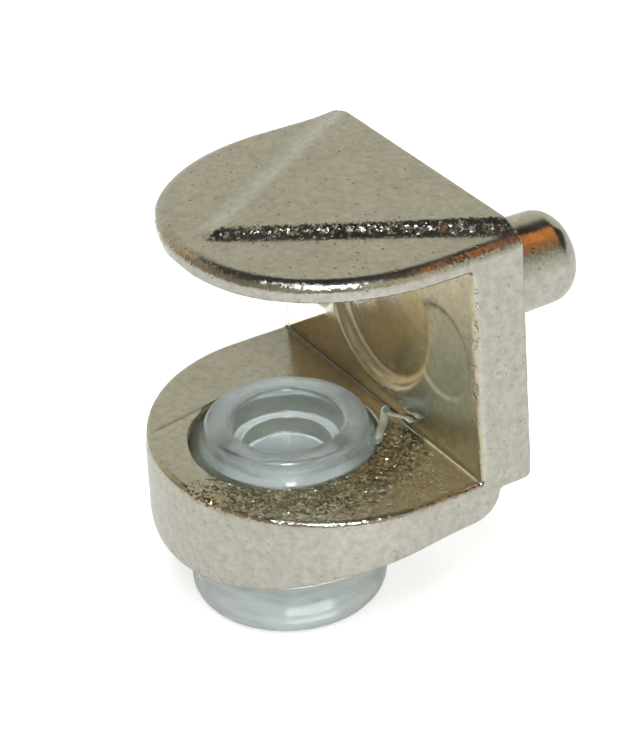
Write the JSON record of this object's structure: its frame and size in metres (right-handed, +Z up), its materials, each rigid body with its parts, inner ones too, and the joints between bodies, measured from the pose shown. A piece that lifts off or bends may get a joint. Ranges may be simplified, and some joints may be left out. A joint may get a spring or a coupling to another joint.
{
  "type": "shelf support pin",
  "caption": "Clamp-type glass shelf support: a plug-in pin behind a back plate, two rounded jaws that grip the shelf, and a soft clear cushion in the lower jaw.",
  "frame": {"origin": "on the pin's axis, in the plane of the back plate's rear face, which lies against the cabinet side", "axes": "+Y along the pin towards its free end (into the cabinet side), -Y towards the noses of the jaws, +Z up, +X to the right when the shelf side is seen from the front"},
  "size_m": [0.0176, 0.0223, 0.0206],
  "materials": {
    "casting": "bright warm nickel plating on a slightly grainy zinc die-casting",
    "cushion": "clear soft vinyl, glossy, faintly blue-grey"
  },
  "bodies": {
    "root": {"casting": "casting", "cushion": "cushion"}
  },
  "joints": []
}
